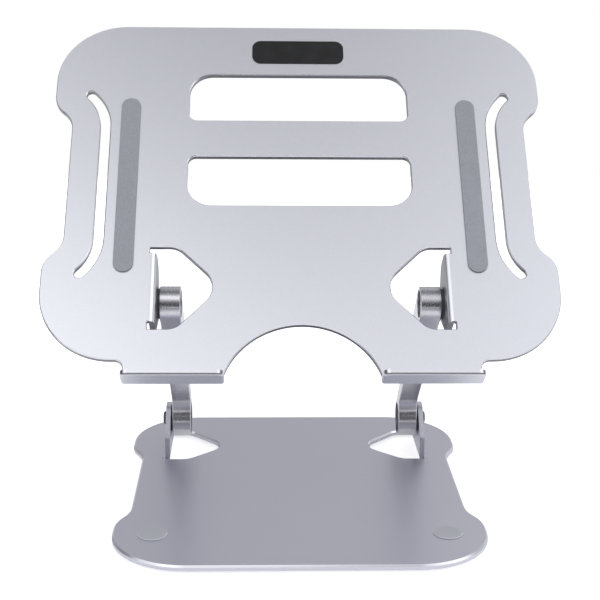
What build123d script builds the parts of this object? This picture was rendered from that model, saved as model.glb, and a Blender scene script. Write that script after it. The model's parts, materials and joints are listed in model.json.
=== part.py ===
"""Folding aluminium laptop stand: base plate, two arms, tilting tray, four friction hinges.

Millimetres. +X is the user's right, +Y runs away from the user, +Z is up.
The origin is on the table, under the centre of the base plate.
Lengths across are given from the middle plane X = 0, so each piece is made for side -1 or +1.
"""
import math
import os

from build123d import *

# Driving dimensions: the sheet and its bends
sheet = 3.0
bend_in = 1.0
bend_out = bend_in + sheet
# A round leaves this much of the flat that it starts from
round_slack = 0.01

# The two hinge lines, both along X
foot_height = 2.0
base_top = foot_height + sheet
lower_axis_y = 58.7
lower_axis_above_plate = 18.8
upper_axis_below_plate = 17.8
arm_length = 136.0
arm_lean = 47.8
tray_slope = 47.7

# Base plate outline
base_half_depth = 110.8
base_half_width = 103.3
base_waist = 95.8
base_corner = 42.0
base_sweep = 25.5
base_wing_y = (-56.0, 54.4)
base_waist_y = (-43.6, 42.0)
base_bevel = 1.0

# Tray outline, its up and down measured along the tray from the upper hinge line
tray_top = 175.3
wing_bottom = -43.3
tray_half_width = 140.5
tray_waist = 129.8
tray_corner = 40.0
tray_sweep = 14.5
tray_middle = 66.5
tray_wing_reach = 51.0
tray_waist_reach = 42.0
tray_bevel = 0.5
mouth_radius = 44.0
mouth_centre = -66.9

# Lips at the front edge of the tray
lip_inner = 41.0
lip_outer = 94.3
lip_front = -57.2
lip_rise = 12.4
lip_corner = 4.0
lip_neck = 4.5
lip_pad_thick = 1.0
lip_pad_margin = 3.5
lip_pad_corner = 2.5
lip_pad_gap = (0.5, 2.5)
lip_edge_round = 1.3

# Slots, strips and badge on the tray
slot_length = 126.2
slot_height = 32.2
slot_wide_corner = 13.7
slot_tight_corner = 4.6
slot_centres = (124.1, 67.2)
side_slot_x = 110.85
side_slot_width = 5.7
side_slot_straight = 73.0
side_slot_bend = 31.0
side_slot_turn = 45.0
strip_x = 96.6
strip_width = 11.0
strip_length = 114.0
strip_thick = 1.0
strip_round = 0.35
strip_up = tray_middle - 1.0
badge_size = (54.0, 16.4, 0.4)
badge_up = 156.7
badge_corner = 5.2

# D-shaped windows, and the ears that are bent out of them
ear_outer = 81.5
ear_inner = ear_outer - sheet
ear_half_width = 20.8
ear_tip_radius = 10.2
ear_shoulder = 9.0
ear_bend_in = 0.3
ear_bend_out = ear_bend_in + sheet
ear_bend_line = ear_inner + ear_bend_out
base_window_ends = (-22.6, 25.0)
tray_window_ends = (-25.5, 24.3)
window_flat_end = 67.6
window_apex = 43.2
window_shoulder = 10.0
window_tip_radius = 12.3
relief_reach = 0.6
relief_round = 0.5

# Friction hinges, outwards from the inner side of each arm
arm_inner = 65.8
arm_outer = 77.4
bore_floor = 73.8
lower_barrel = 11.4
upper_barrel = 9.6
barrel_wall = 1.8
arm_waist_station = 38.0
arm_waist_front = -0.3
arm_flare = 11.0
arm_bevel = 0.4
pin_radius = 3.0
running_gap = 0.05
head_radius = 4.2
head_height = 2.1
head_round = 0.9
washer_radius = 8.4
spring_radius = 6.4
spring_outer = bore_floor
spring_inner = 71.4
spring_leaves = 3
spring_step = 0.4
nut_inner = 67.4
nut_across_flats = 10.0
pin_inner = 66.7

# Bumpers and feet
bumper_place = (81.0, -72.8)
bumper_radius = 8.15
bumper_rise = 0.8
bumper_bevel = 0.6
foot_places = ((81.0, -72.8), (78.0, 96.5))
foot_radius = 8.0
foot_round = 0.6

lower_axis = Vector(0, lower_axis_y, base_top + lower_axis_above_plate)
arm_up = Vector(0, -math.cos(math.radians(arm_lean)), math.sin(math.radians(arm_lean)))
upper_axis = lower_axis + arm_up * arm_length
tray_normal = Vector(0, -math.sin(math.radians(tray_slope)), math.cos(math.radians(tray_slope)))

# The tray is drawn flat: local Y runs up the tray from the hinge line, local Z = 0 is its underside.
tray_place = Plane(
    origin=upper_axis + tray_normal * upper_axis_below_plate,
    x_dir=(1, 0, 0),
    z_dir=tray_normal,
)
# The base plate is drawn about its own hinge line too: local Z = 0 is its top.
base_place = Plane(origin=(0, lower_axis_y, base_top))

SIDES = {"left": -1, "right": 1}


def across(side, inner, outer):
    """Plane at the low-X face of a piece that lies from inner to outer on one side, and its length."""
    low = inner if side > 0 else -outer
    return Plane.YZ.offset(low), outer - inner


def outward_plane(side, axis, away):
    """Plane across a hinge line at a distance from the middle plane, facing outwards."""
    return Plane(origin=axis + Vector(side * away, 0, 0), z_dir=(side, 0, 0))


def near(vertices, places):
    """The vertices that lie at the given (x, y) places of the sketch."""
    tolerance = 0.05
    return [
        vertex
        for vertex in vertices
        if any(abs(vertex.X - x) < tolerance and abs(vertex.Y - y) < tolerance for x, y in places)
    ]


def both(places):
    """The places and their mirror images across X = 0."""
    return [(sign * x, y) for x, y in places for sign in (-1, 1)]


def plate_outline(half_outline, rounds):
    """Closed symmetric outline from the points of its right half, with its corners rounded."""
    left_half = [(-x, y) for x, y in reversed(half_outline)]
    with BuildSketch() as outline:
        with BuildLine():
            Polyline(*half_outline, *left_half, close=True)
        make_face()
        for radius, places in rounds:
            fillet(near(outline.vertices(), both(places)), radius)
    return outline.sketch


def window_outline(side, ends):
    """D-shaped window about the hinge line, with a relief notch past each end of the ear's bend."""
    front, rear = ends
    notch = ear_bend_line + relief_reach
    straight = [
        (side * notch, rear),
        (side * notch, ear_half_width),
        (side * ear_bend_line, ear_half_width),
        (side * ear_bend_line, -ear_half_width),
        (side * notch, -ear_half_width),
        (side * notch, front),
    ]
    bow = [
        (side * window_flat_end, front),
        (side * window_apex, 0),
        (side * window_flat_end, rear),
    ]
    with BuildSketch() as window:
        with BuildLine():
            Polyline(*straight, *bow, close=True)
        make_face()
        fillet(near(window.vertices(), [bow[1]]), window_tip_radius)
        fillet(near(window.vertices(), [bow[0], bow[2]]), window_shoulder)
        fillet(near(window.vertices(), straight[:2] + straight[4:]), relief_round)
    return window.sketch


def ear_piece(side, away, axis_height):
    """One ear with its bend. Away is +1 for an ear above the plate, -1 for one below it."""
    apex = axis_height + ear_tip_radius * math.sqrt(2)
    shoulder = apex - ear_half_width
    side_view = [
        (-ear_half_width, away * ear_bend_in),
        (-ear_half_width, away * shoulder),
        (0, away * apex),
        (ear_half_width, away * shoulder),
        (ear_half_width, away * ear_bend_in),
    ]
    bend_section = [
        (side * (ear_inner + out), away * (height - sheet))
        for out, height in (
            (0, ear_bend_out),
            (0, 0),
            (ear_bend_out, 0),
            (ear_bend_out, sheet),
            (sheet, sheet),
            (sheet, ear_bend_out),
        )
    ]
    face, thickness = across(side, ear_inner, ear_outer)
    with BuildPart() as piece:
        with BuildSketch(face) as blade:
            with BuildLine():
                Polyline(*side_view, close=True)
            make_face()
            fillet(near(blade.vertices(), [side_view[2]]), ear_tip_radius)
            fillet(near(blade.vertices(), [side_view[1], side_view[3]]), ear_shoulder)
            with Locations((0, away * axis_height)):
                Circle(pin_radius + running_gap, mode=Mode.SUBTRACT)
        extrude(amount=thickness)
        with BuildSketch(Plane.XZ.offset(-ear_half_width)) as bend:
            with BuildLine():
                Polyline(*bend_section, close=True)
            make_face()
            fillet(near(bend.vertices(), [bend_section[1]]), ear_bend_out - round_slack)
            fillet(near(bend.vertices(), [bend_section[4]]), ear_bend_in - round_slack)
        extrude(amount=2 * ear_half_width)
    return piece.part


def rim_edges(face, skipped_y=None):
    """The edges round a plate's face, except the bend lines and the edge at skipped_y."""
    tolerance = 0.1
    return [
        edge
        for edge in face.edges()
        if abs(abs(edge.center().X) - ear_bend_line) > tolerance
        and (skipped_y is None or abs(edge.center().Y - skipped_y) > tolerance)
    ]


# Base plate
base_points = [
    (base_half_width, -base_half_depth - lower_axis_y),
    (base_half_width, base_wing_y[0] - lower_axis_y),
    (base_waist, base_waist_y[0] - lower_axis_y),
    (base_waist, base_waist_y[1] - lower_axis_y),
    (base_half_width, base_wing_y[1] - lower_axis_y),
    (base_half_width, base_half_depth - lower_axis_y),
]
with BuildPart() as base_plate:
    with BuildSketch(Plane.XY.offset(-sheet)):
        add(plate_outline(
            base_points,
            [(base_corner, [base_points[0], base_points[5]]), (base_sweep, base_points[1:5])],
        ))
        for side in SIDES.values():
            add(window_outline(side, base_window_ends), mode=Mode.SUBTRACT)
    extrude(amount=sheet)
    chamfer(rim_edges(base_plate.faces().sort_by(Axis.Z)[-1]), base_bevel)
    for side in SIDES.values():
        add(ear_piece(side, 1, lower_axis_above_plate))

# Tray: outline, slots, windows, then ears below and lips above
neck_end = lip_front + bend_out
mouth_meets_lip = mouth_centre + math.sqrt(mouth_radius ** 2 - lip_inner ** 2)
tray_points = [
    (lip_inner, mouth_meets_lip),
    (lip_inner, neck_end),
    (lip_outer, neck_end),
    (lip_outer, wing_bottom),
    (tray_half_width, wing_bottom),
    (tray_half_width, tray_middle - tray_wing_reach),
    (tray_waist, tray_middle - tray_waist_reach),
    (tray_waist, tray_middle + tray_waist_reach),
    (tray_half_width, tray_middle + tray_wing_reach),
    (tray_half_width, tray_top),
]
tray_rounds = [
    (tray_corner, [tray_points[4], tray_points[9]]),
    (tray_sweep, tray_points[5:9]),
    (lip_neck, [tray_points[3]]),
]


def slot_outline(centre, wide_end):
    """Cable and air slot: wide corners at its upper (+1) or lower (-1) edge, tight ones opposite."""
    half_length = slot_length / 2
    half_height = slot_height / 2
    wide = centre + wide_end * half_height
    tight = centre - wide_end * half_height
    with BuildSketch() as slot:
        with Locations((0, centre)):
            Rectangle(slot_length, slot_height)
        fillet(near(slot.vertices(), both([(half_length, wide)])), slot_wide_corner)
        fillet(near(slot.vertices(), both([(half_length, tight)])), slot_tight_corner)
    return slot.sketch


def side_slot_outline(side):
    """Narrow slot beside the strip: straight in the middle, both ends bending outwards."""
    half = side_slot_straight / 2
    turn = math.radians(side_slot_turn)
    reach = side_slot_bend * math.sin(turn)
    swing = side_slot_bend * (1 - math.cos(turn))
    rise = side_slot_bend * math.sin(turn / 2)
    drift = side_slot_bend * (1 - math.cos(turn / 2))
    x = side * side_slot_x
    with BuildSketch() as slot:
        with BuildLine() as middle:
            Line((x, tray_middle - half), (x, tray_middle + half))
            for end in (-1, 1):
                start = tray_middle + end * half
                ThreePointArc(
                    (x, start),
                    (x + side * drift, start + end * rise),
                    (x + side * swing, start + end * reach),
                )
        trace(line_width=side_slot_width)
        with Locations(*[(x + side * swing, tray_middle + end * (half + reach)) for end in (-1, 1)]):
            Circle(side_slot_width / 2)
    return slot.sketch


def lip_piece(side):
    """One lip: the sheet bends up from the neck and ends in a straight edge with round corners."""
    lip_top = sheet + lip_rise
    lip_section = [
        (neck_end, 0),
        (lip_front, 0),
        (lip_front, lip_top),
        (lip_front + sheet, lip_top),
        (lip_front + sheet, sheet),
        (neck_end, sheet),
    ]
    face, length = across(side, lip_inner, lip_outer)
    with BuildPart() as piece:
        with BuildSketch(face) as lip:
            with BuildLine():
                Polyline(*lip_section, close=True)
            make_face()
            fillet(near(lip.vertices(), [lip_section[1]]), bend_out - round_slack)
            fillet(near(lip.vertices(), [lip_section[4]]), bend_in - round_slack)
        extrude(amount=length)
        ends = piece.edges().filter_by(Axis.Y).group_by(Axis.Z)[-1]
        fillet(ends, lip_corner)
        fillet(piece.edges().filter_by(Axis.X).group_by(Axis.Z)[-1].sort_by(Axis.Y)[0], lip_edge_round)
    return piece.part


with BuildPart() as tray_plate:
    with BuildSketch():
        add(plate_outline(tray_points, tray_rounds))
        with Locations((0, mouth_centre)):
            Circle(mouth_radius, mode=Mode.SUBTRACT)
        for centre, wide_end in zip(slot_centres, (1, -1)):
            add(slot_outline(centre, wide_end), mode=Mode.SUBTRACT)
        for side in SIDES.values():
            add(window_outline(side, tray_window_ends), mode=Mode.SUBTRACT)
            add(side_slot_outline(side), mode=Mode.SUBTRACT)
    extrude(amount=sheet)
    chamfer(rim_edges(tray_plate.faces().sort_by(Axis.Z)[-1], neck_end), tray_bevel)
    for side in SIDES.values():
        add(ear_piece(side, -1, upper_axis_below_plate))
        add(lip_piece(side))
tray_plate.part = tray_place.location * tray_plate.part


# Arms: two barrels and a bar that is slimmer at the front near the lower barrel
def arm_outline():
    """Side view of an arm: X from the lower hinge towards the upper one, Y towards the front."""
    back_angle = math.asin((lower_barrel - upper_barrel) / arm_length)
    reach = math.hypot(arm_length - arm_waist_station, arm_waist_front)
    front_angle = math.asin(upper_barrel / reach) - math.atan2(
        arm_waist_front, arm_length - arm_waist_station
    )
    bar = [
        (0, arm_waist_front - arm_waist_station * math.tan(front_angle)),
        (arm_length - upper_barrel * math.sin(front_angle), upper_barrel * math.cos(front_angle)),
        (arm_length, 0),
        (arm_length + upper_barrel * math.sin(back_angle), -upper_barrel * math.cos(back_angle)),
        (lower_barrel * math.sin(back_angle), -lower_barrel * math.cos(back_angle)),
    ]
    with BuildSketch() as outline:
        Circle(lower_barrel)
        with Locations((arm_length, 0)):
            Circle(upper_barrel)
        with BuildLine():
            Polyline(*bar, close=True)
        make_face()
        hollow = outline.vertices().sort_by_distance(Vector(lower_barrel, arm_waist_front))[0]
        fillet(hollow, arm_flare)
    return outline.sketch


def make_arm(side):
    """One arm, with a blind bore for the hinge stack in the inner side of each barrel."""
    low = min(side * arm_inner, side * arm_outer)
    low_plane = Plane(origin=lower_axis + Vector(low, 0, 0), x_dir=arm_up, z_dir=(1, 0, 0))
    with BuildPart() as arm:
        with BuildSketch(low_plane):
            add(arm_outline())
        extrude(amount=arm_outer - arm_inner)
        sides = arm.faces().sort_by(Axis.X)
        chamfer(sides[0].edges() + sides[-1].edges(), arm_bevel)
        for station, barrel in ((0, lower_barrel), (arm_length, upper_barrel)):
            mouth = outward_plane(side, lower_axis + arm_up * station, arm_inner)
            with BuildSketch(mouth):
                Circle(barrel - barrel_wall)
            extrude(amount=bore_floor - arm_inner, mode=Mode.SUBTRACT)
            with BuildSketch(mouth):
                Circle(pin_radius + running_gap)
            extrude(amount=arm_outer - arm_inner, mode=Mode.SUBTRACT)
    return arm


# Hinge stacks: every piece is turned about the hinge line
def hinge_disc(side, axis, inner, outer, radius, hole):
    """Ring round a hinge line, between two distances from the middle plane."""
    with BuildPart() as disc:
        with BuildSketch(outward_plane(side, axis, inner)):
            Circle(radius)
            Circle(hole, mode=Mode.SUBTRACT)
        extrude(amount=outer - inner)
    return disc


def make_pin(side, axis):
    """Hinge pin: shaft through ear and arm, domed head outside the ear."""
    with BuildPart() as pin:
        with BuildSketch(outward_plane(side, axis, pin_inner)):
            Circle(pin_radius)
        extrude(amount=ear_outer - pin_inner)
        with BuildSketch(outward_plane(side, axis, ear_outer)):
            Circle(head_radius)
        extrude(amount=head_height)
        outer_face = pin.faces().sort_by(Axis.X)[-1 if side > 0 else 0]
        fillet(outer_face.edges(), head_round)
    return pin


def make_nut(side, axis):
    """Hexagonal lock nut on the inner end of a pin."""
    with BuildPart() as nut:
        with BuildSketch(outward_plane(side, axis, nut_inner)):
            RegularPolygon(nut_across_flats / 2, 6, major_radius=False)
            Circle(pin_radius, mode=Mode.SUBTRACT)
        extrude(amount=spring_inner - nut_inner)
    return nut


def make_springs(side, axis):
    """Stack of disc springs that presses the hinge together."""
    leaf = (spring_outer - spring_inner) / spring_leaves
    with BuildPart() as stack:
        for layer in range(spring_leaves):
            start = spring_inner + layer * leaf
            with BuildSketch(outward_plane(side, axis, start)):
                Circle(spring_radius - spring_step * (layer % 2))
                Circle(pin_radius, mode=Mode.SUBTRACT)
            extrude(amount=leaf)
    return stack


# Trim on the tray and rubber parts of the base
def make_strip(side):
    """Long rubber strip with round ends on the tray."""
    with BuildPart() as strip:
        with BuildSketch(Plane.XY.offset(sheet)):
            with Locations((side * strip_x, strip_up)):
                SlotOverall(strip_length, strip_width, rotation=90)
        extrude(amount=strip_thick)
        fillet(strip.faces().sort_by(Axis.Z)[-1].edges(), strip_round)
    strip.part = tray_place.location * strip.part
    return strip


def make_lip_pad(side):
    """Thin soft pad on the inner face of a lip."""
    length = lip_outer - lip_inner - 2 * lip_pad_margin
    pad_bottom = sheet + bend_in + lip_pad_gap[0]
    pad_top = sheet + lip_rise - lip_pad_gap[1]
    with BuildPart() as pad:
        with BuildSketch(Plane.XZ.offset(-lip_front - sheet)):
            with Locations((side * (lip_inner + lip_outer) / 2, (pad_bottom + pad_top) / 2)):
                RectangleRounded(length, pad_top - pad_bottom, lip_pad_corner)
        extrude(amount=-lip_pad_thick)
    pad.part = tray_place.location * pad.part
    return pad


def make_badge():
    """Blank rounded badge at the top of the tray."""
    width, height, thickness = badge_size
    with BuildPart() as badge:
        with BuildSketch(Plane.XY.offset(sheet)):
            with Locations((0, badge_up)):
                RectangleRounded(width, height, badge_corner)
        extrude(amount=thickness)
    badge.part = tray_place.location * badge.part
    return badge


def make_bumper(side):
    """Round rubber bumper near a front corner of the base plate, with a sloping rim."""
    x, y = bumper_place
    with BuildPart() as bumper:
        with BuildSketch(Plane.XY.offset(base_top)):
            with Locations((side * x, y)):
                Circle(bumper_radius)
        extrude(amount=bumper_rise)
        chamfer(bumper.faces().sort_by(Axis.Z)[-1].edges(), bumper_bevel)
    return bumper


def make_foot(side, place):
    """Round rubber foot under the base plate."""
    x, y = place
    with BuildPart() as foot:
        with BuildSketch():
            with Locations((side * x, y)):
                Circle(foot_radius)
        extrude(amount=foot_height)
        fillet(foot.faces().sort_by(Axis.Z)[0].edges(), foot_round)
    return foot


base_plate.part = base_place.location * base_plate.part
nodes = {"base_plate": base_plate, "tray_plate": tray_plate, "badge": make_badge()}
for hand, side in SIDES.items():
    nodes[f"arm_{hand}"] = make_arm(side)
    nodes[f"tray_strip_{hand}"] = make_strip(side)
    nodes[f"lip_pad_{hand}"] = make_lip_pad(side)
    nodes[f"bumper_{hand}"] = make_bumper(side)
    for row, place in zip(("front", "rear"), foot_places):
        nodes[f"foot_{row}_{hand}"] = make_foot(side, place)
    for level, axis in (("lower", lower_axis), ("upper", upper_axis)):
        nodes[f"{level}_pin_{hand}"] = make_pin(side, axis)
        nodes[f"{level}_washer_{hand}"] = hinge_disc(
            side, axis, arm_outer, ear_inner, washer_radius, pin_radius + running_gap
        )
        nodes[f"{level}_springs_{hand}"] = make_springs(side, axis)
        nodes[f"{level}_nut_{hand}"] = make_nut(side, axis)

os.makedirs("parts", exist_ok=True)
for name, node in nodes.items():
    node.part.label = name
    export_step(node.part, f"parts/{name}.step")
    print(name, round(node.part.volume, 1), node.part.is_valid, len(node.part.solids()))
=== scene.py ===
"""Folding laptop stand: materials, small hinge details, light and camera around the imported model.

Metres, in the model's own frame: +X right, +Y away from the user, +Z up, the table at Z = 0.
"""
import json
import math

import bmesh
import bpy
from mathutils import Matrix, Vector


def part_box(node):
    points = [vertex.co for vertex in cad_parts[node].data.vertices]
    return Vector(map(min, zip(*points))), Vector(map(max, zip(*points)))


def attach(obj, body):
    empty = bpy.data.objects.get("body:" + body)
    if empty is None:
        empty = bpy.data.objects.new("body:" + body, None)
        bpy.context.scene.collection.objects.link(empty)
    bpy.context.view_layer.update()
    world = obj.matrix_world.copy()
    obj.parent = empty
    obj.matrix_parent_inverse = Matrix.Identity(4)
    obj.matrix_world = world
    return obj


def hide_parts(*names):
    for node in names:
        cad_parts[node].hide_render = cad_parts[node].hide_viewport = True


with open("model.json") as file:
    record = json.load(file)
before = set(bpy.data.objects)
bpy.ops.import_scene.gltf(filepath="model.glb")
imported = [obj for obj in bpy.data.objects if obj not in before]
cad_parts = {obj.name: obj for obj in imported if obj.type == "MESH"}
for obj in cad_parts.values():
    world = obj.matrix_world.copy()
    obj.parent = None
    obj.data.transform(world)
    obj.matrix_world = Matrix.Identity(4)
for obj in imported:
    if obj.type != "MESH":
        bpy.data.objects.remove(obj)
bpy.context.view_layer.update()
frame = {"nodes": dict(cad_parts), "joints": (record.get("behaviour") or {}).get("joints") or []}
nodes = frame["nodes"]

MM = 0.001
SHARP_ANGLE = math.radians(32)
HANDS = {"left": -1, "right": 1}
LEVELS = {"lower": "base", "upper": "tray_hinge"}

# The tray's slope as it was built, and the two hinge lines, read from the model's joints
TRAY_SLOPE = math.radians(47.7)
TRAY_NORMAL = Vector((0, -math.sin(TRAY_SLOPE), math.cos(TRAY_SLOPE)))
TRAY_UP = Vector((0, math.cos(TRAY_SLOPE), math.sin(TRAY_SLOPE)))
joint_places = {joint["name"]: Vector(joint["pos_m"]) for joint in frame["joints"]}
HINGE_LINES = {"lower": joint_places["arm_raise"], "upper": joint_places["tray_level"]}
# Where the tray ends and its lips bend up, as a distance along TRAY_UP
LIP_BELOW_HINGE = 53.0 * MM
LIP_ROOT = HINGE_LINES["upper"].dot(TRAY_UP) - LIP_BELOW_HINGE
LIP_FADE = 0.5 * MM


# ---------------------------------------------------------------- materials

class Graph:
    """A material's node tree, with short ways to add nodes and link them."""

    def __init__(self, name):
        self.material = bpy.data.materials.new(name)
        self.material.use_nodes = True
        self.tree = self.material.node_tree
        self.tree.nodes.clear()
        self.shader = self.tree.nodes.new("ShaderNodeBsdfPrincipled")
        output = self.tree.nodes.new("ShaderNodeOutputMaterial")
        self.tree.links.new(self.shader.outputs[0], output.inputs[0])
        self.place = self.tree.nodes.new("ShaderNodeTexCoord")

    def put(self, socket, value):
        """Sets a socket to a constant, or links it to another node's socket."""
        if isinstance(value, bpy.types.NodeSocket):
            self.tree.links.new(value, socket)
        else:
            socket.default_value = value

    def node(self, kind, settings=None, **inputs):
        """A node of that kind. Settings are its own properties, inputs its sockets by name."""
        made = self.tree.nodes.new(kind)
        for key, value in (settings or {}).items():
            setattr(made, key, value)
        for key, value in inputs.items():
            self.put(made.inputs[key.replace("_", " ")], value)
        return made

    def noise(self, scale, detail=2.0, roughness=0.5, stretch=None):
        """Noise between 0 and 1, with its scale in cycles per metre."""
        where = self.place.outputs["Object"]
        if stretch:
            where = self.node("ShaderNodeMapping", Vector=where, Scale=stretch).outputs[0]
        made = self.node(
            "ShaderNodeTexNoise", Vector=where, Scale=scale, Detail=detail, Roughness=roughness
        )
        return made.outputs["Fac"]

    def math(self, operation, first, second=0.0, third=0.0, clamp=False):
        made = self.node("ShaderNodeMath", {"operation": operation, "use_clamp": clamp})
        for socket, value in zip(made.inputs, (first, second, third)):
            self.put(socket, value)
        return made.outputs[0]

    def span(self, value, low, high, to_low=0.0, to_high=1.0):
        """Value taken smoothly from the range low..high to the range to_low..to_high."""
        made = self.node("ShaderNodeMapRange", {"interpolation_type": "SMOOTHSTEP"})
        for socket, number in zip(made.inputs, (value, low, high, to_low, to_high)):
            self.put(socket, number)
        return made.outputs[0]

    def mix(self, factor, first, second):
        """Colour between two colours."""
        made = self.node("ShaderNodeMix", {"data_type": "RGBA"})
        self.put(made.inputs[0], factor)
        self.put(made.inputs[6], first)
        self.put(made.inputs[7], second)
        return made.outputs[2]

    def along(self, direction, of="Normal"):
        """Dot product of a direction with the surface's normal or place, in the object's own axes."""
        made = self.node("ShaderNodeVectorMath", {"operation": "DOT_PRODUCT"})
        self.put(made.inputs[0], self.place.outputs[of])
        self.put(made.inputs[1], tuple(direction))
        return made.outputs["Value"]

    def bump(self, height, distance, strength=1.0, below=None):
        made = self.node("ShaderNodeBump", Height=height, Distance=distance, Strength=strength)
        if below:
            self.put(made.inputs["Normal"], below)
        return made.outputs[0]

    def finish(self, **inputs):
        for key, value in inputs.items():
            self.put(self.shader.inputs[key.replace("_", " ")], value)
        return self.material


def grey(value, tint=(1.0, 1.0, 1.0)):
    """A grey of that brightness, tinted."""
    return (value * tint[0], value * tint[1], value * tint[2], 1.0)


COOL = (0.97, 0.985, 1.04)
MAUVE = (0.985, 0.975, 1.03)
BLUISH = (0.965, 0.975, 1.07)
# The painted dark reflection on a bent-up rim, as a share of the tone of its sheet
RIM_REFLECTION_TONE = 0.3


def blasted_aluminium(name, tone, tint, top, rough, wall, edge, wall_end=None):
    """Bead-blasted, anodised sheet, known by the direction of its top.

    Wall scales the tone of the cut walls, at right angles to the top: painted shade. Edge
    scales that of the rounded edges, which are also smoother: painted shade that dims their
    highlights. Beyond wall_end the sheet is bent up: its walls keep the sheet's tone and its
    rounded rim is painted dark, a painted dark reflection. Wall_end is a direction in the
    sheet and the two distances of the fade.
    """
    g = Graph(name)
    grain = g.noise(2600, detail=3, roughness=0.6)
    cloud = g.noise(9, detail=2)
    facing = g.along(top)
    bevel = g.math(
        "MULTIPLY", g.span(facing, 0.45, 0.6), g.span(facing, 0.8, 0.93, 1.0, 0.0)
    )
    tone_here = g.mix(g.span(cloud, 0.3, 0.7), grey(tone * 0.995, tint), grey(tone * 1.005, tint))
    speckled = g.mix(g.span(grain, 0.35, 0.65), grey(tone * 0.93, tint), tone_here)
    # The cut walls are painted darker by the wall factor: painted shade
    cut = g.span(g.math("ABSOLUTE", facing), 0.2, 0.35, 1.0, 0.0)
    # The rounded edges take the edge factor's tone: painted shade that dims their highlights
    edge_and_rim_shade = grey(min(1.0, tone * edge), COOL)
    if wall_end:
        direction, bent, flat = wall_end
        flat_part = g.span(g.along(direction, "Object"), bent, flat)
        cut = g.math("MULTIPLY", cut, flat_part)
        # The bent-up rim's rounded edge is painted dark: a painted dark reflection
        edge_and_rim_shade = g.mix(flat_part, grey(tone * RIM_REFLECTION_TONE, tint), edge_and_rim_shade)
    wall_shaded = g.mix(cut, speckled, grey(tone * wall, tint))
    colour = g.mix(bevel, wall_shaded, edge_and_rim_shade)
    blasted_rough = g.span(grain, 0.3, 0.7, rough - 0.03, rough + 0.03)
    roughness = g.math("ADD", blasted_rough, g.math("MULTIPLY", bevel, -0.16))
    relief = g.bump(g.math("MULTIPLY", grain, g.math("SUBTRACT", 1.0, bevel)), 0.00002, 0.15)
    return g.finish(Base_Color=colour, Metallic=1.0, Roughness=roughness, Normal=relief)


def satin_arm_metal():
    """Fine-blasted cast arms: smooth satin with a faint grain along the bar."""
    g = Graph("arm_satin_metal")
    brushed = g.noise(900, detail=3, stretch=(1.0, 0.12, 0.12))
    grain = g.noise(2600, detail=2)
    cloud = g.noise(25, detail=2)
    base = g.mix(g.span(brushed, 0.3, 0.7), grey(0.64, MAUVE), grey(0.67, MAUVE))
    colour = g.mix(g.span(cloud, 0.4, 0.8, 0.0, 0.5), base, grey(0.69, COOL))
    roughness = g.span(grain, 0.3, 0.7, 0.25, 0.28)
    relief = g.bump(grain, 0.00001, 0.2)
    return g.finish(Base_Color=colour, Metallic=1.0, Roughness=roughness, Normal=relief)


def soft_rubber(name, tone, tint, rough=0.75, pebble=1400, sheen=0.25, top=None, rim=1.0):
    """Matt rubber with a fine pebble, dusty where it is rubbed.

    Top is the direction of its top face: then its walls are painted darker, as painted shade,
    and rim scales the tone of the sloping edge between them, a painted highlight where rim is
    above one.
    """
    g = Graph(name)
    pebbles = g.noise(pebble, detail=3, roughness=0.6)
    dust = g.noise(55, detail=4)
    body = g.mix(g.span(pebbles, 0.3, 0.7), grey(tone * 0.88, tint), grey(tone * 1.08, tint))
    colour = g.mix(g.span(dust, 0.45, 0.8, 0.0, 0.35), body, grey(tone * 1.25, tint))
    if top:
        facing = g.along(top)
        # The sloping edge between top and walls takes rim's tone: a painted highlight where rim is
        # above one
        slope = g.math("MULTIPLY", g.span(facing, 0.35, 0.55), g.span(facing, 0.85, 0.97, 1.0, 0.0))
        colour = g.mix(slope, colour, grey(tone * rim, tint))
        # The walls are painted darker: painted shade
        colour = g.mix(g.span(facing, 0.15, 0.4, 0.8, 0.0), colour, grey(tone * 0.3, tint))
    roughness = g.span(dust, 0.3, 0.7, rough - 0.06, rough + 0.08)
    relief = g.bump(pebbles, 0.00006, 0.5)
    return g.finish(
        Base_Color=colour, Roughness=roughness, Normal=relief,
        Sheen_Weight=sheen, Sheen_Roughness=0.5, Specular_IOR_Level=0.35,
    )


def badge_lacquer():
    """Near-black lacquered badge whose coat is slightly uneven."""
    g = Graph("badge_lacquer")
    grain = g.noise(1800, detail=2)
    cloud = g.noise(120, detail=3)
    colour = g.mix(g.span(cloud, 0.3, 0.7), grey(0.012), grey(0.018, COOL))
    roughness = g.span(grain, 0.3, 0.7, 0.38, 0.48)
    return g.finish(
        Base_Color=colour, Roughness=roughness, Normal=g.bump(grain, 0.00001, 0.25),
        Specular_IOR_Level=0.3,
    )


def turned_metal(name, tone, tint, axis_place, rough, rings=2200.0):
    """Metal turned on a lathe: fine rings round the hinge line, and a little tarnish."""
    g = Graph(name)
    centred = g.node("ShaderNodeVectorMath", {"operation": "SUBTRACT"})
    g.put(centred.inputs[0], g.place.outputs["Object"])
    g.put(centred.inputs[1], tuple(axis_place))
    flat = g.node("ShaderNodeVectorMath", {"operation": "MULTIPLY"})
    g.put(flat.inputs[0], centred.outputs[0])
    g.put(flat.inputs[1], (0.0, 1.0, 1.0))
    radius = g.node("ShaderNodeVectorMath", {"operation": "LENGTH"})
    g.put(radius.inputs[0], flat.outputs[0])
    ring = g.math("SINE", g.math("MULTIPLY", radius.outputs["Value"], rings * 2 * math.pi))
    tarnish = g.noise(420, detail=4)
    colour = g.mix(g.span(tarnish, 0.35, 0.75), grey(tone, tint), grey(tone * 0.7, tint))
    roughness = g.span(tarnish, 0.3, 0.7, rough - 0.05, rough + 0.08)
    relief = g.bump(ring, 0.000006, 0.4)
    return g.finish(Base_Color=colour, Metallic=1.0, Roughness=roughness, Normal=relief)


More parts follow.
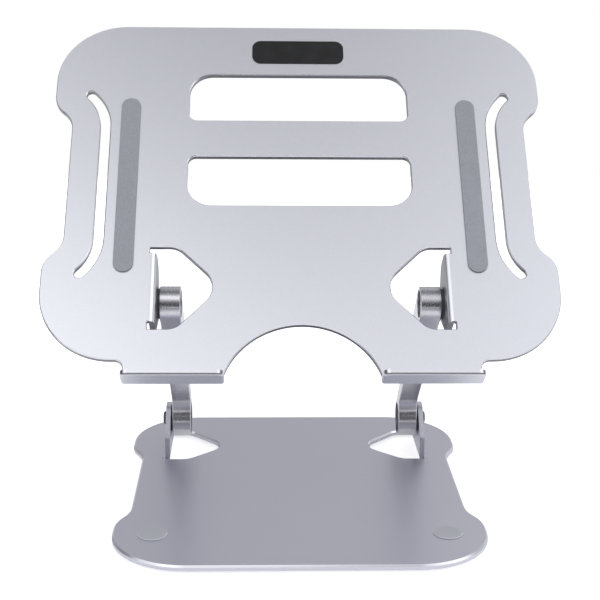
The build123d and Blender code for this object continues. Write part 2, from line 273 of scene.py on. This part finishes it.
def washer_polymer():
    """Dark, slightly waxy friction washer."""
    g = Graph("washer_polymer")
    grain = g.noise(1600, detail=3)
    colour = g.mix(g.span(grain, 0.3, 0.7), grey(0.09, COOL), grey(0.12, COOL))
    return g.finish(
        Base_Color=colour, Roughness=g.span(grain, 0.3, 0.7, 0.42, 0.55),
        Normal=g.bump(grain, 0.00002, 0.4),
    )


def dress(piece, material):
    """The piece wears this material all over."""
    piece.data.materials.clear()
    piece.data.materials.append(material)


BRASS = (1.0, 0.86, 0.62)
materials = {
    # Wall and edge below set painted shade on the cut walls and rounded edges; the tray's bent-up
    # rims also carry a painted dark reflection
    "base_plate": blasted_aluminium(
        "base_aluminium", 0.75, BLUISH, (0, 0, 1), 0.36, wall=0.9, edge=0.86
    ),
    "tray_plate": blasted_aluminium(
        "tray_aluminium", 0.80, COOL, TRAY_NORMAL, 0.38, wall=0.3, edge=0.95,
        wall_end=(TRAY_UP, LIP_ROOT - LIP_FADE, LIP_ROOT + LIP_FADE),
    ),
    "arm": satin_arm_metal(),
    "tray_strip": soft_rubber("strip_rubber", 0.355, (0.96, 0.99, 1.09), top=TRAY_NORMAL),
    "lip_pad": soft_rubber("lip_pad_rubber", 0.30, (0.97, 1.0, 1.05)),
    # Its sloping rim is painted lighter by rim: a painted highlight; its walls carry painted shade
    "bumper": soft_rubber(
        "bumper_rubber", 0.42, (0.96, 0.985, 1.06), rough=0.5, top=(0, 0, 1), rim=1.25
    ),
    "foot": soft_rubber("foot_rubber", 0.12, COOL),
    "badge": badge_lacquer(),
    "washer": washer_polymer(),
}
for level, line in HINGE_LINES.items():
    materials[f"{level}_pin"] = turned_metal(f"{level}_pin_steel", 0.10, COOL, line, 0.34)
    materials[f"{level}_springs"] = turned_metal(f"{level}_spring_steel", 0.30, COOL, line, 0.3)
    materials[f"{level}_nut"] = turned_metal(f"{level}_nut_brass", 0.46, BRASS, line, 0.28)


def material_for(name):
    """The material whose name starts, or is a word in, the node's name."""
    for key, material in materials.items():
        if name.startswith(key) or f"_{key}_" in name:
            return material
    raise KeyError(name)


for name, node in nodes.items():
    dress(node, material_for(name))


# ---------------------------------------------------------------- edges of the CAD nodes

WELD_GAP = 0.002 * MM
SHEET_ROUND = 0.18 * MM
ARM_ROUND = 0.12 * MM
ROUNDED_ANGLE = math.radians(28)


def soften(node, width, segments=2):
    """Small rounds on a node's sharp edges, so that they catch the light."""
    weld = node.modifiers.new("weld", "WELD")
    weld.merge_threshold = WELD_GAP
    bevel = node.modifiers.new("edge_round", "BEVEL")
    bevel.width = width
    bevel.segments = segments
    bevel.limit_method = "ANGLE"
    bevel.angle_limit = ROUNDED_ANGLE
    bevel.use_clamp_overlap = True
    bevel.harden_normals = False
    for polygon in node.data.polygons:
        polygon.use_smooth = True
    normals = node.modifiers.new("even_normals", "WEIGHTED_NORMAL")
    normals.keep_sharp = True


for name, node in nodes.items():
    if name.startswith(("base_plate", "tray_plate")):
        soften(node, SHEET_ROUND)
    elif name.startswith("arm"):
        soften(node, ARM_ROUND)


# ---------------------------------------------------------------- hinge hardware and feet

def new_piece(name, mesh_maker, material):
    """A mesh object filled in by mesh_maker, with its sharp edges kept sharp."""
    mesh = bpy.data.meshes.new(name)
    shape = bmesh.new()
    mesh_maker(shape)
    bmesh.ops.recalc_face_normals(shape, faces=shape.faces)
    for edge in shape.edges:
        if edge.is_manifold and edge.calc_face_angle() > SHARP_ANGLE:
            edge.smooth = False
    for face in shape.faces:
        face.smooth = True
    shape.to_mesh(mesh)
    shape.free()
    piece = bpy.data.objects.new(name, mesh)
    bpy.context.scene.collection.objects.link(piece)
    dress(piece, material)
    return piece


def lathe(shape, profile, origin, axis, steps=48):
    """Turns a closed profile of (distance along the axis, radius) about the axis."""
    axis = Vector(axis)
    sideways = Vector((0, 0, 1)) if abs(axis.z) < 0.5 else Vector((0, 1, 0))
    upward = axis.cross(sideways)
    rings = []
    for step in range(steps):
        angle = 2 * math.pi * step / steps
        outwards = sideways * math.cos(angle) + upward * math.sin(angle)
        rings.append([
            shape.verts.new(origin + axis * along * MM + outwards * radius * MM)
            for along, radius in profile
        ])
    for ring, next_ring in zip(rings, rings[1:] + rings[:1]):
        count = len(profile)
        for index in range(count):
            after = (index + 1) % count
            shape.faces.new((ring[index], ring[after], next_ring[after], next_ring[index]))


def pin_profile():
    """Pin: dome head with a ring groove in its face, plain shank, inner end ringed like a thread."""
    shank = PIN_RADIUS - PIN_PLAY
    thread_start = PIN_INNER + PIN_CHAMFER
    dome = [
        (EAR_OUTER + HEAD_HEIGHT * height, HEAD_RADIUS * reach)
        for height, reach in ((0.0, 1.0), (0.45, 1.0), (0.7, 0.96), (0.9, 0.86), (1.0, 0.72))
    ]
    groove = [
        (EAR_OUTER + HEAD_HEIGHT * 0.94, HEAD_RADIUS * 0.68),
        (EAR_OUTER + HEAD_HEIGHT * 0.94, HEAD_RADIUS * 0.46),
        (EAR_OUTER + HEAD_HEIGHT, HEAD_RADIUS * 0.42),
        (EAR_OUTER + HEAD_HEIGHT, AXIS_GAP),
    ]
    end = [(PIN_INNER, AXIS_GAP), (PIN_INNER, PIN_RADIUS - 0.5), (thread_start, shank)]
    threads = []
    for turn in range(THREAD_TURNS):
        start = thread_start + turn * THREAD_PITCH
        threads += [(start + 0.22, PIN_RADIUS - THREAD_DEPTH), (start + 0.45, shank)]
    return end + threads + [(EAR_OUTER, shank)] + dome + groove


def spring_profile(leaf):
    """One conical disc spring. Neighbours lean opposite ways, as in a series stack."""
    start = SPRING_INNER + leaf * SPRING_PITCH
    lean = SPRING_PITCH - SPRING_SHEET
    inner_lift, outer_lift = (lean, 0.0) if leaf % 2 else (0.0, lean)
    return [
        (start + inner_lift, PIN_RADIUS + 0.1),
        (start + inner_lift + SPRING_SHEET, PIN_RADIUS + 0.1),
        (start + outer_lift + SPRING_SHEET, SPRING_RADIUS - 0.15),
        (start + outer_lift + SPRING_SHEET * 0.7, SPRING_RADIUS),
        (start + outer_lift + SPRING_SHEET * 0.3, SPRING_RADIUS),
        (start + outer_lift, SPRING_RADIUS - 0.15),
    ]


def collar_profile():
    """Nylon locking ring at the inner end of the nut."""
    return [
        (NUT_INNER, PIN_RADIUS + 0.05),
        (NUT_INNER + COLLAR_LENGTH, PIN_RADIUS + 0.05),
        (NUT_INNER + COLLAR_LENGTH, COLLAR_RADIUS),
        (NUT_INNER + 0.35, COLLAR_RADIUS),
        (NUT_INNER, COLLAR_RADIUS - 0.4),
    ]


def hexagon_nut(shape, origin, axis, sides=6):
    """Hexagonal body whose corners are chamfered at both ends, with a bore."""
    axis = Vector(axis)
    sideways = Vector((0, 0, 1))
    upward = axis.cross(sideways)
    flat = NUT_ACROSS / 2
    corner = flat / math.cos(math.pi / sides)
    start = NUT_INNER + COLLAR_LENGTH
    steps = sides * NUT_FACETS
    rings = []
    for step in range(steps):
        angle = 2 * math.pi * step / steps
        from_flat = (angle + math.pi / sides) % (2 * math.pi / sides) - math.pi / sides
        radius = flat / math.cos(from_flat)
        drop = NUT_CHAMFER * max(0.0, (radius - flat) / (corner - flat))
        outwards = sideways * math.cos(angle) + upward * math.sin(angle)
        places = (
            (start, PIN_RADIUS + 0.05), (start, flat - 0.1), (start + drop + 0.05, radius),
            (SPRING_INNER - drop - 0.05, radius), (SPRING_INNER, flat - 0.1),
            (SPRING_INNER, PIN_RADIUS + 0.05),
        )
        rings.append([
            shape.verts.new(origin + axis * along * MM + outwards * reach * MM)
            for along, reach in places
        ])
    for ring, next_ring in zip(rings, rings[1:] + rings[:1]):
        for index in range(len(ring)):
            after = (index + 1) % len(ring)
            shape.faces.new((ring[index], ring[after], next_ring[after], next_ring[index]))


def foot_profile():
    """Moulded foot: flat sole with a sunk ring and a soft rim."""
    return [
        (FOOT_HEIGHT, AXIS_GAP), (FOOT_HEIGHT, FOOT_RADIUS - 0.1), (FOOT_HEIGHT * 0.8, FOOT_RADIUS),
        (FOOT_HEIGHT * 0.3, FOOT_RADIUS - 0.05), (0.15, FOOT_RADIUS - 0.35),
        (0.0, FOOT_RADIUS - 0.8), (0.0, FOOT_RADIUS - 1.8), (0.35, FOOT_RADIUS - 2.2),
        (0.35, FOOT_RADIUS - 3.4), (0.0, FOOT_RADIUS - 3.8), (0.0, AXIS_GAP),
    ]


# Hinge hardware in millimetres, its places measured outwards from the middle plane
EAR_OUTER = 81.5
PIN_INNER = 66.7
PIN_RADIUS = 3.0
PIN_PLAY = 0.05
PIN_CHAMFER = 0.4
THREAD_TURNS = 4
THREAD_PITCH = 0.5
THREAD_DEPTH = 0.35
# Turned shapes stop just short of their axis, so that no face there has zero width
AXIS_GAP = 0.02
HEAD_RADIUS = 4.2
HEAD_HEIGHT = 2.1
SPRING_INNER = 71.4
SPRING_PITCH = 0.8
SPRING_SHEET = 0.42
SPRING_RADIUS = 6.4
SPRING_LEAVES = 3
NUT_INNER = 67.4
NUT_ACROSS = 10.0
NUT_CHAMFER = 0.55
NUT_FACETS = 8
COLLAR_LENGTH = 0.9
COLLAR_RADIUS = 4.5
FOOT_RADIUS = 8.0
FOOT_HEIGHT = 2.0

nylon = soft_rubber("nylon_collar", 0.22, (0.9, 0.97, 1.12), rough=0.4, pebble=900, sheen=0.0)
for level, body in LEVELS.items():
    line = HINGE_LINES[level]
    centre = Vector((0, line.y, line.z))
    for hand, side in HANDS.items():
        outward = (side, 0, 0)
        pin = new_piece(
            f"{level}_pin_{hand}_turned",
            lambda shape: lathe(shape, pin_profile(), centre, outward),
            materials[f"{level}_pin"],
        )
        nut = new_piece(
            f"{level}_nut_{hand}_hexagon",
            lambda shape: hexagon_nut(shape, centre, outward),
            materials[f"{level}_nut"],
        )
        collar = new_piece(
            f"{level}_nut_{hand}_collar",
            lambda shape: lathe(shape, collar_profile(), centre, outward),
            nylon,
        )
        leaves = new_piece(
            f"{level}_springs_{hand}_cones",
            lambda shape: [
                lathe(shape, spring_profile(leaf), centre, outward)
                for leaf in range(SPRING_LEAVES)
            ],
            materials[f"{level}_springs"],
        )
        for piece, node_name, slot_name in (
            (pin, f"{level}_pin_{hand}", "dark_steel"),
            (nut, f"{level}_nut_{hand}", "nut_metal"),
            (leaves, f"{level}_springs_{hand}", "dark_steel"),
        ):
            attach(piece, body)
            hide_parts(node_name)
        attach(collar, body)

for name in [name for name in nodes if name.startswith("foot_")]:
    low, high = (Vector(corner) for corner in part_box(name))
    under = Vector(((low.x + high.x) / 2, (low.y + high.y) / 2, 0.0))
    foot = new_piece(
        f"{name}_moulded",
        lambda shape: lathe(shape, foot_profile(), under, (0, 0, 1)),
        materials["foot"],
    )
    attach(foot, "base")
    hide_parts(name)


# ---------------------------------------------------------------- light, floor and camera

def area_light(name, place, target, size, power, colour=(1.0, 1.0, 1.0)):
    """Soft rectangular light at a place, facing a target."""
    data = bpy.data.lights.new(name, "AREA")
    data.shape = "RECTANGLE"
    data.size, data.size_y = size
    data.energy = power
    data.color = colour
    light = bpy.data.objects.new(name, data)
    bpy.context.scene.collection.objects.link(light)
    light.location = place
    light.rotation_euler = (Vector(target) - Vector(place)).to_track_quat("-Z", "Y").to_euler()
    return light


def make_floor():
    """Plain pale floor. It glows for the camera, to be seen white, and less for all other rays."""
    mesh = bpy.data.meshes.new("floor")
    reach = 1.1
    corners = [(-reach, -reach, 0), (reach, -reach, 0), (reach, reach, 0), (-reach, reach, 0)]
    mesh.from_pydata(corners, [], [(0, 1, 2, 3)])
    floor = bpy.data.objects.new("floor", mesh)
    bpy.context.scene.collection.objects.link(floor)
    g = Graph("floor_paper")
    fibre = g.noise(220, detail=3)
    seen = g.node("ShaderNodeLightPath").outputs["Is Camera Ray"]
    glow = g.math("MULTIPLY_ADD", seen, FLOOR_GLOW - FLOOR_BOUNCE, FLOOR_BOUNCE)
    dress(floor, g.finish(
        Base_Color=g.mix(fibre, grey(0.90), grey(0.93)), Roughness=0.9, Specular_IOR_Level=0.1,
        Emission_Color=grey(1.0), Emission_Strength=glow,
    ))


def make_world():
    """Studio surroundings: white for the camera; for light, a dim room with large soft glows."""
    world = bpy.data.worlds.new("studio")
    bpy.context.scene.world = world
    world.use_nodes = True
    tree = world.node_tree
    tree.nodes.clear()
    direction = tree.nodes.new("ShaderNodeTexCoord").outputs["Generated"]

    def glow(towards, edge, core, strength):
        """Strength inside a cone about a direction, fading out between two cosines."""
        facing = tree.nodes.new("ShaderNodeVectorMath")
        facing.operation = "DOT_PRODUCT"
        tree.links.new(direction, facing.inputs[0])
        facing.inputs[1].default_value = Vector(towards).normalized()
        fade = tree.nodes.new("ShaderNodeMapRange")
        fade.interpolation_type = "SMOOTHSTEP"
        tree.links.new(facing.outputs["Value"], fade.inputs[0])
        for socket, number in zip(list(fade.inputs)[1:5], (edge, core, 0.0, strength)):
            socket.default_value = number
        return fade.outputs[0]

    total = None
    for lobe in GLOWS:
        made = glow(*lobe)
        if total is not None:
            add = tree.nodes.new("ShaderNodeMath")
            tree.links.new(total, add.inputs[0])
            tree.links.new(made, add.inputs[1])
            made = add.outputs[0]
        total = made
    room = tree.nodes.new("ShaderNodeMath")
    tree.links.new(total, room.inputs[0])
    room.inputs[1].default_value = ROOM
    seen = tree.nodes.new("ShaderNodeBackground")
    seen.inputs["Color"].default_value = grey(1.0)
    lit = tree.nodes.new("ShaderNodeBackground")
    lit.inputs["Color"].default_value = grey(1.0, (0.985, 0.985, 1.02))
    tree.links.new(room.outputs[0], lit.inputs["Strength"])
    path = tree.nodes.new("ShaderNodeLightPath")
    choose = tree.nodes.new("ShaderNodeMixShader")
    tree.links.new(path.outputs["Is Camera Ray"], choose.inputs[0])
    tree.links.new(lit.outputs[0], choose.inputs[1])
    tree.links.new(seen.outputs[0], choose.inputs[2])
    output = tree.nodes.new("ShaderNodeOutputWorld")
    tree.links.new(choose.outputs[0], output.inputs[0])


def make_camera():
    """Camera in front of the stand and a little above it, 23 mm left of its middle plane."""
    place = Vector((-0.02336, -0.72582, 0.31543))
    pitch, yaw, roll = (math.radians(angle) for angle in (15.22, 1.91, 0.56))
    forward = Vector((
        math.sin(yaw) * math.cos(pitch), math.cos(yaw) * math.cos(pitch), -math.sin(pitch)
    ))
    level_right = Vector((math.cos(yaw), -math.sin(yaw), 0))
    level_up = level_right.cross(forward)
    right = level_right * math.cos(roll) + level_up * math.sin(roll)
    up = level_up * math.cos(roll) - level_right * math.sin(roll)
    data = bpy.data.cameras.new("camera")
    data.sensor_width = 36.0
    data.lens = 78.0
    data.clip_start = 0.01
    data.clip_end = 50.0
    camera = bpy.data.objects.new("camera", data)
    bpy.context.scene.collection.objects.link(camera)
    turn = Matrix((right, up, -forward)).transposed()
    camera.matrix_world = Matrix.Translation(place) @ turn.to_4x4()
    bpy.context.scene.camera = camera


# The studio: the room's own brightness, and the floor's glow for the camera and for other rays
ROOM = 0.055
FLOOR_GLOW = 0.62
FLOOR_BOUNCE = 0.20
# Large soft glows, each as (direction, cosines of its edge and its core, strength)
GLOWS = (
    ((0.0, 0.05, 1.0), 0.30, 0.95, 0.16),
    ((-0.62, -0.50, 0.68), 0.70, 0.98, 1.02),
    ((0.68, -0.46, 0.68), 0.70, 0.98, 1.22),
    ((0.0, 1.0, 0.35), 0.45, 0.98, 0.41),
    ((-1.0, 0.2, 0.4), 0.50, 0.95, 0.26),
    ((1.0, 0.3, 0.4), 0.45, 0.95, 0.66),
)

make_floor()
make_world()
make_camera()
bpy.context.scene.view_settings.view_transform = "Standard"

STAND = (0.0, 0.0, 0.10)
area_light("overhead_softbox", (-0.45, -0.85, 1.45), STAND, (1.1, 0.8), 1.9)
